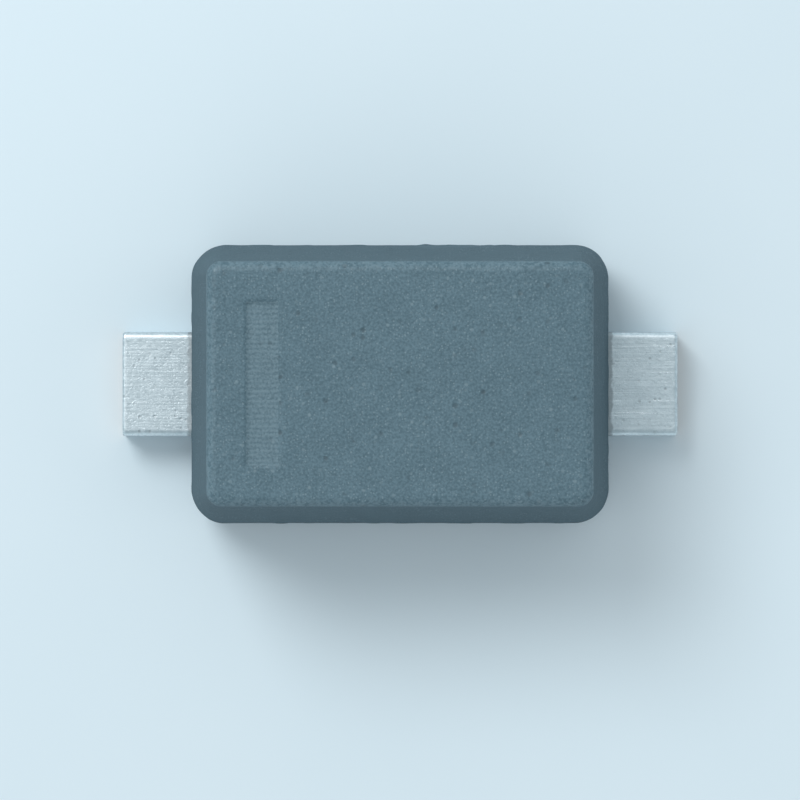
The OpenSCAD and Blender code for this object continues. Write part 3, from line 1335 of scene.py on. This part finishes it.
    def gate(self, points: np.ndarray) -> np.ndarray:
        """Mask of the gate's scar on the +Y wall, above the parting line: a ragged oblong.

        Args:
            points: Points of the smooth skin, shape (..., 3).

        Returns:
            Mask between 0 and 1, shape (...).
        """
        x, y, z = np.moveaxis(points, -1, 0)
        middle = self.split + self.gate_height / 2
        ragged = self.gate_edge.at(points)
        scar = within(np.abs(x - self.gate_middle) - ragged, self.gate_width / 2, self.soft)
        scar = scar * within(np.abs(z - middle) - ragged, self.gate_height / 2, self.soft)
        return scar * (y > self.axis_y + self.corner)

    def lift(self, points: np.ndarray) -> np.ndarray:
        """How far the skin stands out along its normal, in metres.

        It is the sum of a faint unevenness, the polarity bar's recess, the ejector mark's recess, the flash
        and the small step between the mould halves, and the torn scar of the gate.

        Args:
            points: Points of the smooth skin, shape (..., 3).

        Returns:
            Heights of shape (...).
        """
        x, y, z = np.moveaxis(points, -1, 0)
        bar = self.bar
        recess = within(x - bar.middle, bar.width / 2, self.soft) * within(y, bar.length / 2, self.soft)
        recess = recess * (z > self.top - self.on_face)
        pin = within(np.hypot(x, y), self.ejector_radius, self.soft) * (z < self.bottom + self.on_face)
        lower_half = soft_step(self.split - z, -self.step_soft, self.step_soft)
        lower_half = lower_half * (z > self.bottom + self.step_soft)
        torn = self.gate_proud + self.gate_tear.at(points)
        height = self.skin.at(points) + self.flash_height * self.flash(points) + self.gate(points) * torn
        return height - bar.depth * recess - self.ejector_depth * pin - self.mould_step * lower_half

    def patches(self) -> list[Patch]:
        """Skin of the moulding: the wall from rim to rim, the underside and the top face.

        Returns:
            The three patches, with their point attributes.
        """
        axes, outwards, starts = self.round_walk()
        radius, height, edge = self.section()
        plan = axes + radius[:, None, None] * outwards
        rise = np.broadcast_to(height[:, None, None], (*plan.shape[:2], 1))
        wall = np.concatenate([plan, rise], -1)
        normals = ring_normals(wall)
        normals[0], normals[-1] = -UP, UP
        drawn = soft_step(self.top - height, *self.drawn_below)
        drawn = drawn * soft_step(height, self.bottom, self.bottom + self.bottom_edge)
        marks = {
            SkinMark.RUBBED: np.broadcast_to(edge[:, None], wall.shape[:2]),
            SkinMark.DRAWN: np.broadcast_to(drawn[:, None], wall.shape[:2]),
            SkinMark.FLASH: np.maximum(self.flash(wall), self.gate_show * self.gate(wall)),
        }
        patches = [Patch(wall + normals * self.lift(wall)[..., None], marks)]
        for rim, normal in ((wall[0], -UP), (wall[-1], UP)):
            face = self.flat_grid(rim, starts)
            plain = {mark: np.zeros(face.shape[:2]) for mark in marks}
            moved = face + normal * self.lift(face)[..., None]
            patches.append(Patch(moved, plain, closed=False, turned=normal[2] < 0))
        return patches

    def build(self) -> bpy.types.Object:
        """Makes the moulding's mesh and puts it in the frame.

        Returns:
            The moulding.
        """
        piece = smooth_piece("epoxy_moulding", self.patches())
        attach(piece, "root")
        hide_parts("moulded_body")
        return piece

    def dress(self, piece: bpy.types.Object) -> None:
        """Gives the moulding its finish."""
        finish = FilledEpoxy("filled_epoxy", fine=7 * MICRON, broad=70 * MICRON, bar=self.bar)
        piece.data.materials.append(finish.material())


@dataclass
class Course:
    """Rows of a strip from its tip to its inner end, as arrays with one value for each row.

    Attributes:
        out: Distance from the middle of the part.
        height: Height of the strip's middle.
        climb: Angle of the strip from level, in radians.
        wide: Half the width of the stamped outline.
        inset: How far the row is drawn in from that outline, at the rounded ends.
        grown: Share of the section's full size, which falls to 0 where an end closes on a line.
    """

    out: np.ndarray
    height: np.ndarray
    climb: np.ndarray
    wide: np.ndarray
    inset: np.ndarray
    grown: np.ndarray


@dataclass
class FormedLead:
    """A lead: a rounded strip section carried along its bent path, from the tip in. Sizes in metres.

    The path is a foot, a bend up, a slope, a bend back to level and the inner plate. Each row of the grid
    is the strip's section at one point of the path, as wide as the stamped outline is there.

    Attributes:
        end: Which lead it is.
        body: The moulding that it leaves.
        thickness: Thickness of the strip.
        width: Width of the strip outside the moulding.
        plate_width: Width of the inner plate.
        plate_corner: Plan radius of the plate's corners.
        shoulder: Distances past the plate's start of the rows before and after it widens.
        foot_under: Length of the foot under the moulding.
        rise: Height of the inner plate above the foot.
        bend_radius: Inside radius of the bends.
        bend_angle: Angle of the bends, in degrees.
        notch_radius: Radius of the notches that lock the cathode's plate in the moulding.
        upper_edge: Rounding of the strip's upper edges.
        lower_edge: Rounding of its lower edges.
        tip_edge: Rounding at the sheared ends.
        sheared_from: Distance from the end's face at which its mark starts and is full, in tip edges.
        smear_share: Share of the sheared end's height that is bare copper.
        smear_soft: Half the height of the slope down to the torn part.
        torn: How far the torn part of the sheared end lies back.
        tear: Unevenness of that part.
        skin: Faint unevenness of the plating.
        skin_fade: Distance inside the moulding over which the unevenness fades out.
        even_sole: Height from the foot's underside up to which the plating is even.
        even_cap: Share of a closing ring's full size up to which it is even, and from which it isn't.
        on_face: Distance up to which a point counts as on the end's face.
        step: Spacing of the grid outside the moulding.
        inner_step: Spacing of the grid along the plate.
        corner_steps: Steps round an edge of the section.
        side_steps: Steps up a side of the section.
        bend_steps: Steps round a bend.
        tip_steps: Steps round the edge of a sheared end.
        cap_steps: Steps from that edge to the line on which the end closes.
    """

    end: End
    body: MouldedBody
    thickness: float = 0.13 * MM
    width: float = 0.30 * MM
    plate_width: float = 0.46 * MM
    plate_corner: float = 0.02 * MM
    shoulder: Span = (0.5 * MICRON, 3.0 * MICRON)
    foot_under: float = 0.08 * MM
    rise: float = 0.12 * MM
    bend_radius: float = 0.04 * MM
    bend_angle: float = 50.0
    notch_radius: float = 0.03 * MM
    upper_edge: float = 16.0 * MICRON
    lower_edge: float = 7.0 * MICRON
    tip_edge: float = 7.0 * MICRON
    sheared_from: Span = (0.9, 0.3)
    smear_share: float = 0.62
    smear_soft: float = 5.0 * MICRON
    torn: float = 1.1 * MICRON
    tear: Unevenness = Unevenness(14 * MICRON, height=1.1 * MICRON, seed=41)
    skin: Unevenness = Unevenness(32 * MICRON, height=0.3 * MICRON, seed=31)
    skin_fade: float = 20.0 * MICRON
    even_sole: float = 2.0 * MICRON
    even_cap: Span = (0.3, 0.9)
    on_face: float = 0.1 * MICRON
    step: float = 5.5 * MICRON
    inner_step: float = 10.0 * MICRON
    corner_steps: int = 6
    side_steps: int = 17
    bend_steps: int = 12
    tip_steps: int = 5
    cap_steps: int = 9

    def __post_init__(self) -> None:
        """Takes the ends from the frame, measured outwards from the middle."""
        low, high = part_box(self.end.node)
        outward = np.array([low.x, high.x]) * self.end.value
        self.foot = low.z
        self.tip = float(outward.max())
        self.inner = float(outward.min())
        self.smear_z = self.foot + self.smear_share * self.thickness

    def strip_section(self) -> np.ndarray:
        """Section of the strip: along the top towards +Y, down, back along the underside and up.

        Each half is a flat run, a quarter circle, a straight side and the next quarter circle.

        Returns:
            Four rows: the share of the half width, the offset from it, the height from mid thickness, and
            the edge mark.
        """
        half = self.thickness / 2
        run = np.linspace(-1, 1, round(self.width / self.step))
        run = (run - run[::-1])[:-1] / 2
        turn = np.linspace(0, math.pi / 2, self.corner_steps)
        back = turn[:0:-1]
        halves = []
        edges = (self.upper_edge, self.lower_edge)
        for way, near, far in ((1.0, *edges), (-1.0, *edges[::-1])):
            side = np.linspace(half - near, far - half, self.side_steps + 1)[1:-1]
            share = [run, np.ones(turn.size + side.size + back.size)]
            offset = [-run * near, near * (np.sin(turn) - 1), np.zeros(side.size), far * (np.sin(back) - 1)]
            height = [np.full(run.size, half), half - near * (1 - np.cos(turn))]
            height += [side, far * (1 - np.cos(back)) - half]
            edge = [np.zeros(run.size), np.sin(2 * turn), np.zeros(side.size), np.sin(2 * back)]
            rows = [np.concatenate(parts) for parts in (share, offset, height, edge)]
            halves.append(np.stack(rows) * np.array([way, way, way, 1.0])[:, None])
        return np.concatenate(halves, axis=1)

    def half_width(self, out: np.ndarray, plate_start: float) -> np.ndarray:
        """Half width of the stamped outline: the strip, then the plate with round corners and notches.

        Args:
            out: Distance of each row from the middle of the part.
            plate_start: Distance at which the plate starts.

        Returns:
            Half width of each row.
        """
        depth = np.minimum(plate_start - out, out - self.inner)
        short = np.clip(self.plate_corner - depth, 0, self.plate_corner)
        plate = self.plate_width / 2 - self.plate_corner + np.sqrt(self.plate_corner**2 - short**2)
        if self.end is End.CATHODE:
            beside = np.abs(out - (plate_start + self.inner) / 2)
            plate = plate - np.sqrt(np.clip(self.notch_radius**2 - beside**2, 0, None))
        return np.where(out < plate_start - sum(self.shoulder) / 2, plate, self.width / 2)

    def course(self) -> Course:
        """Path of the strip's middle from the tip to the inner end, by arcs about the two bend centres.

        Returns:
            The rows, without the closed ends.
        """
        radius = self.bend_radius + self.thickness / 2
        angle = math.radians(self.bend_angle)
        slope = (self.rise - 2 * radius * (1 - math.cos(angle))) / math.sin(angle)
        foot_end = self.body.wall - self.foot_under
        plate_start = foot_end - 2 * radius * math.sin(angle) - slope * math.cos(angle)
        plate_end = self.inner + self.tip_edge
        turn = np.linspace(0, angle, self.bend_steps)
        back = turn[::-1]
        foot = np.linspace(self.tip - self.tip_edge, foot_end, round((self.tip - foot_end) / self.step))[:-1]
        plate = np.linspace(plate_start, plate_end, round((plate_start - plate_end) / self.inner_step))[1:]
        plate = np.concatenate([plate_start - np.array(self.shoulder), plate])
        out = [foot, foot_end - radius * np.sin(turn), plate_start + radius * np.sin(back), plate]
        lift = [np.zeros(foot.size), radius * (1 - np.cos(turn))]
        lift += [self.rise - radius * (1 - np.cos(back)), np.full(plate.size, self.rise)]
        climb = [np.zeros(foot.size), turn, back, np.zeros(plate.size)]
        rows = np.concatenate(out)
        height = self.foot + self.thickness / 2 + np.concatenate(lift)
        wide = self.half_width(rows, plate_start)
        return Course(rows, height, np.concatenate(climb), wide, np.zeros(rows.size), np.ones(rows.size))

    def closed(self, course: Course) -> Course:
        """Adds the sheared ends: a quarter circle round the edge, then rings that close on a line.

        Args:
            course: The open rows.

        Returns:
            The rows with both ends closed.
        """
        turn = np.linspace(math.pi / 2, 0, self.tip_steps)[1:]
        ring = np.linspace(1, 0, self.cap_steps + 1)[1:]
        beyond = self.tip_edge * np.concatenate([np.cos(turn), np.ones(ring.size)])
        inset = self.tip_edge * np.concatenate([1 - np.sin(turn), np.ones(ring.size)])
        grown = np.concatenate([np.ones(turn.size), ring])
        height, climb, wide = [
            np.pad(values, beyond.size, mode="edge") for values in (course.height, course.climb, course.wide)
        ]
        out = np.concatenate([course.out[0] + beyond[::-1], course.out, course.out[-1] - beyond])
        inset = np.concatenate([inset[::-1], course.inset, inset])
        grown = np.concatenate([grown[::-1], course.grown, grown])
        return Course(out, height, climb, wide, inset, grown)

    def patch(self) -> Patch:
        """Skin of the lead: the section in each row, with faintly uneven plating and a torn sheared end.

        Returns:
            The closed grid, with its point attributes.
        """
        share, offset, across, edge = self.strip_section()
        course = self.closed(self.course())
        half = self.thickness / 2
        sine, cosine = np.sin(course.climb)[:, None], np.cos(course.climb)[:, None]
        narrowed = 1 - (1 - course.grown) * half / course.wide
        reach = share * (course.wide - course.inset)[:, None] + offset * course.grown[:, None]
        y = reach * narrowed[:, None]
        thick = across * ((1 - course.inset / half) * course.grown)[:, None]
        x = course.out[:, None] + sine * thick
        z = course.height[:, None] + cosine * thick
        points = np.stack([x, y, z], -1)
        outside = soft_step(x, self.body.wall - self.skin_fade, self.body.wall)
        uneven = outside * (z > self.foot + self.even_sole) * soft_step(course.grown, *self.even_cap)[:, None]
        plating = self.skin.at(points) * uneven
        points = points + ring_normals(points) * plating[..., None]
        start, full = self.tip - np.array(self.sheared_from) * self.tip_edge
        at_tip = soft_step(x, start, full)
        below = soft_step(self.smear_z - z, -self.smear_soft, self.smear_soft) * (x > self.tip - self.on_face)
        points[..., 0] -= (self.torn + self.tear.at(points)) * below
        points[..., 0] *= self.end.value
        marks = {SkinMark.RUBBED: edge * outside, SkinMark.SHEARED: at_tip}
        return Patch(points, marks, turned=self.end is End.CATHODE)

    def build(self) -> bpy.types.Object:
        """Makes the lead's mesh and puts it in the frame.

        Returns:
            The lead.
        """
        piece = smooth_piece("plated_" + self.end.node, [self.patch()])
        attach(piece, "root")
        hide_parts(self.end.node)
        return piece

    def dress(self, piece: bpy.types.Object) -> None:
        """Gives the lead its finish.

        Args:
            piece: The lead.
        """
        name = "matte_tin_" + self.end.name.lower()
        body = self.body
        finish = MatteTin(
            name, fine=4 * MICRON, broad=55 * MICRON, wall=body.wall, skin_z=body.bottom, smear_z=self.smear_z
        )
        piece.data.materials.append(finish.material())


@dataclass
class CastCavity:
    """The hollow that the moulding keeps round what it was cast on: both leads and the sealed pieces.

    It is the moulding less the union of plain copies of those pieces.

    Attributes:
        leads: The leads that the moulding holds.
        sealed: Names of the nodes inside it.
        growth: Factor by which the copies of those nodes are grown, so that pieces that touch overlap.
        step: Spacing of the grid on the copies of the leads.
        side_steps: Steps up a side of those copies.
        sharp: Angle from which an edge is left sharp, in degrees.
    """

    leads: Sequence[FormedLead]
    sealed: Sequence[str]
    growth: float = 1.0005
    step: float = 20 * MICRON
    side_steps: int = 5
    sharp: float = 60.0

    def lead_copy(self, lead: FormedLead) -> bpy.types.Object:
        """Copy of a lead with a coarser grid and an even skin.

        Args:
            lead: The lead.

        Returns:
            The copy.
        """
        even = replace(lead.skin, height=0.0)
        plain = replace(
            lead, step=self.step, inner_step=self.step, side_steps=self.side_steps, skin=even, tear=even
        )
        return smooth_piece("cast_" + lead.end.node, [plain.patch()])

    def node_copy(self, name: str) -> bpy.types.Object:
        """Copy of a node with its triangles joined, grown about its middle.

        Args:
            name: Name of the node.

        Returns:
            The copy.
        """
        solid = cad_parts[name].data
        points = np.empty((len(solid.vertices), 3), np.float32)
        corners = np.empty((len(solid.polygons), 3), np.int32)
        solid.vertices.foreach_get("co", points.reshape(-1))
        solid.loops.foreach_get("vertex_index", corners.reshape(-1))
        middle = np.add(*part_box(name)) / 2
        mesh, _ = joined_mesh("cast_" + name, middle + (points - middle) * self.growth, corners)
        return placed("cast_" + name, mesh)

    def cut(self, piece: bpy.types.Object) -> None:
        """Cuts the hollow out of the moulding's mesh.

        Args:
            piece: The moulding.
        """
        copies = [self.lead_copy(lead) for lead in self.leads]
        copies += [self.node_copy(name) for name in self.sealed]
        inserts = bpy.data.collections.new("inserts")
        for copy in copies:
            inserts.objects.link(copy)
        hollow = piece.modifiers.new("hollow", "BOOLEAN")
        hollow.operation, hollow.solver, hollow.operand_type = "DIFFERENCE", "MANIFOLD", "COLLECTION"
        hollow.collection = inserts
        graph = bpy.context.evaluated_depsgraph_get()
        whole = piece.data
        piece.data = bpy.data.meshes.new_from_object(
            piece.evaluated_get(graph), preserve_all_data_layers=True, depsgraph=graph
        )
        piece.modifiers.clear()
        piece.data.materials.clear()
        piece.data.set_sharp_from_angle(angle=math.radians(self.sharp))
        for mesh in [whole, *(copy.data for copy in copies)]:
            bpy.data.meshes.remove(mesh)
        bpy.data.collections.remove(inserts)


@dataclass
class SealedPieces:
    """The pieces inside the moulding, which keep their solids.

    Attributes:
        ring_gap: Distance of the chip's ring from its contact.
    """

    ring_gap: float = 8 * MICRON

    def finishes(self) -> dict[str, Finish]:
        """Works out a finish for each node.

        Returns:
            The finishes, by the nodes' names.
        """
        chip_low, chip_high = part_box("varicap_chip")
        pad_low, pad_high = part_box("anode_pad")
        solder = PlainMetal(
            "die_solder",
            fine=6 * MICRON,
            broad=40 * MICRON,
            light=(0.50, 0.51, 0.53),
            dark=(0.36, 0.37, 0.39),
            smooth=0.38,
            rough=0.58,
            depth=0.8 * MICRON,
        )
        chip = SawnSilicon(
            "sawn_silicon",
            fine=3 * MICRON,
            broad=60 * MICRON,
            middle=(chip_low.x + chip_high.x) / 2,
            top=chip_high.z,
            ring=(pad_high.x - pad_low.x) / 2 + self.ring_gap,
        )
        contact = PlainMetal(
            "contact_aluminium",
            fine=3 * MICRON,
            broad=25 * MICRON,
            light=(0.86, 0.86, 0.87),
            dark=(0.76, 0.76, 0.78),
            smooth=0.25,
            rough=0.40,
            depth=0.2 * MICRON,
        )
        wire = PlainMetal(
            "gold_wire",
            fine=4 * MICRON,
            broad=30 * MICRON,
            light=(1.00, 0.74, 0.33),
            dark=(0.93, 0.64, 0.25),
            smooth=0.18,
            rough=0.32,
            depth=0.15 * MICRON,
        )
        return {"die_attach": solder, "varicap_chip": chip, "anode_pad": contact, "bond_wire": wire}

    def dress(self) -> None:
        """Puts each node's finish in its material slot."""
        for name, finish in self.finishes().items():
            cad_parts[name].material_slots[0].material = finish.material()
            LOG.info("%s has the finish %s", name, finish.name)


# Studio


def from_sky(azimuth: float, elevation: float) -> Vector:
    """Direction to a place in the sky.

    Args:
        azimuth: Degrees from +X towards +Y.
        elevation: Degrees above the floor.

    Returns:
        Unit vector from the part to that place.
    """
    turn, rise = math.radians(azimuth), math.radians(elevation)
    return Vector((math.cos(rise) * math.cos(turn), math.cos(rise) * math.sin(turn), math.sin(rise)))


@dataclass(frozen=True)
class SkyPatch:
    """Soft round patch of the sky, which shows in metal and gloss.

    Attributes:
        azimuth: Where its middle stands, in degrees from +X towards +Y.
        elevation: Height of its middle above the floor, in degrees.
        inner: Angle from its middle up to which it is full, in degrees.
        outer: Angle at which it ends.
        colour: Its colour.
    """

    azimuth: float
    elevation: float
    inner: float
    outer: float
    colour: Colour

    def over(self, board: Board, way: Socket, colour: Input) -> Socket:
        """Lays the patch over the sky, by the cosine of the angle from its middle.

        Args:
            board: Board of the world.
            way: Direction of the ray.
            colour: The sky's colour.

        Returns:
            The sky's colour with the patch in it.
        """
        inputs = {0: way, 1: from_sky(self.azimuth, self.elevation)}
        cosine = board.add("ShaderNodeVectorMath", inputs, operation="DOT_PRODUCT").outputs["Value"]
        mask = board.ramp(cosine, math.cos(math.radians(self.outer)), math.cos(math.radians(self.inner)))
        return board.tint(mask, colour, self.colour)


@dataclass(frozen=True)
class Sun:
    """Soft lamp far away.

    Attributes:
        azimuth: Where it stands, in degrees from +X towards +Y.
        elevation: Height above the floor, in degrees.
        power: Light on a surface that faces it, in watts per square metre.
        angle: Width of the lamp as seen from the part, in degrees.
    """

    azimuth: float
    elevation: float
    power: float
    angle: float

    def hang(self, name: str) -> None:
        """Adds the lamp, facing the part.

        Args:
            name: Name of the lamp.
        """
        data = bpy.data.lights.new(name, "SUN")
        data.energy = self.power
        data.angle = math.radians(self.angle)
        away = from_sky(self.azimuth, self.elevation)
        placed(name, data).rotation_euler = away.to_track_quat("Z", "Y").to_euler()


@dataclass(frozen=True)
class Softbox:
    """Square lamp near the part, which fades across the picture.

    Attributes:
        place: Its middle in metres.
        side: Its side in metres.
        light: Light that it gives at the origin on a surface that faces it, in watts per square metre.
    """

    place: tuple[float, float, float]
    side: float
    light: float

    def hang(self, name: str) -> None:
        """Adds the lamp, facing the origin. A lamp of unit power gives 1 / (pi d^2) at the distance d.

        Args:
            name: Name of the lamp.
        """
        data = bpy.data.lights.new(name, "AREA")
        away = Vector(self.place)
        data.shape = "SQUARE"
        data.size = self.side
        data.energy = self.light * math.pi * away.length_squared
        lamp = placed(name, data)
        lamp.location = away
        lamp.rotation_euler = away.to_track_quat("Z", "Y").to_euler()


@dataclass
class Studio:
    """Floor, light and camera. Sizes in metres.

    Attributes:
        floor_reach: Half the side of the floor.
        floor_lines: Lines of the floor's grid each way.
        span: Share of the picture's width that the part's length takes.
        lens: Focal length in millimetres.
        lift: How far the part sits above the picture's middle, as a share of its height.
        clip: Nearest and farthest that the camera sees, in distances to the part.
        ambient: Radiance of the sky on matt surfaces.
        backdrop: Colour of the background and of what metal reflects.
        panel: Bright panel overhead, on the key's side.
        shade: Dimmer side overhead.
        key: The main lamp.
        window: The near lamp.
    """

    floor_reach: float = 90 * MM
    floor_lines: int = 3
    span: float = 0.70
    lens: float = 300.0
    lift: float = 0.02
    clip: Span = (0.02, 100.0)
    ambient: Colour = (0.65, 0.66, 0.67)
    backdrop: Colour = (0.66, 0.80, 0.87)
    panel: SkyPatch = SkyPatch(azimuth=128, elevation=65, inner=15, outer=45, colour=(0.88, 0.95, 0.98))
    shade: SkyPatch = SkyPatch(azimuth=-52, elevation=60, inner=12, outer=42, colour=(0.34, 0.42, 0.46))
    key: Sun = Sun(azimuth=128, elevation=48, power=1.00, angle=30)
    window: Softbox = Softbox(place=(-2.6 * MM, 2.9 * MM, 4.2 * MM), side=2.4 * MM, light=0.50)

    def floor(self) -> None:
        """Lays a flat grid under the feet."""
        edge = np.linspace(-self.floor_reach, self.floor_reach, self.floor_lines)
        x, y = np.meshgrid(edge, edge)
        points = np.stack([x, y, np.full(x.shape, CAD_BOX[0].z)], -1)
        piece = smooth_piece("floor", [Patch(points, {}, closed=False)])
        finish = PaleFloor("pale_floor", fine=30 * MICRON, broad=600 * MICRON)
        piece.data.materials.append(finish.material())

    def sky(self) -> None:
        """Lights the part from all round, and shows the backdrop to the eye, to gloss and through glass."""
        world = bpy.data.worlds.new("studio")
        world.use_nodes = True
        board = Board(world.node_tree)
        rays = board.add("ShaderNodeLightPath").outputs
        seen = board.math("MAXIMUM", rays["Is Camera Ray"], rays["Is Glossy Ray"])
        seen = board.math("MAXIMUM", seen, rays["Is Transmission Ray"])
        way = board.add("ShaderNodeTexCoord").outputs["Generated"]
        shown = self.shade.over(board, way, self.panel.over(board, way, self.backdrop))
        glow = board.add("ShaderNodeBackground", {"Color": board.tint(seen, self.ambient, shown)})
        board.add("ShaderNodeOutputWorld", {"Surface": glow.outputs[0]})
        bpy.context.scene.world = world

    def camera(self) -> None:
        """Looks straight down, with the anode to the right and +Y up in the picture."""
        low, high = CAD_BOX
        middle = (low + high) / 2
        data = bpy.data.cameras.new("camera")
        across = (high.x - low.x) / self.span
        distance = across * self.lens / data.sensor_width
        data.lens = self.lens
        data.clip_start, data.clip_end = distance * self.clip[0], distance * self.clip[1]
        camera = placed("camera", data)
        camera.location = (middle.x, middle.y - self.lift * across, middle.z + distance)
        bpy.context.scene.camera = camera

    def build(self) -> None:
        """Sets up the whole studio."""
        self.floor()
        self.sky()
        self.key.hang("key")
        self.window.hang("window")
        self.camera()
        bpy.context.scene.view_settings.view_transform = "Standard"


def main() -> None:
    """Builds and dresses every piece, and sets up the studio."""
    logging.basicConfig(level=logging.INFO, format="%(name)s: %(message)s")
    body = MouldedBody()
    leads = [FormedLead(end, body) for end in End]
    sealed = SealedPieces()
    moulding = body.build()
    CastCavity(leads, list(sealed.finishes())).cut(moulding)
    for part, piece in [(body, moulding), *((lead, lead.build()) for lead in leads)]:
        part.dress(piece)
        LOG.info("%s has %d faces", piece.name, len(piece.data.polygons))
    sealed.dress()
    Studio().build()
    LOG.info("The studio is set up")


if __name__ == "__main__":
    main()
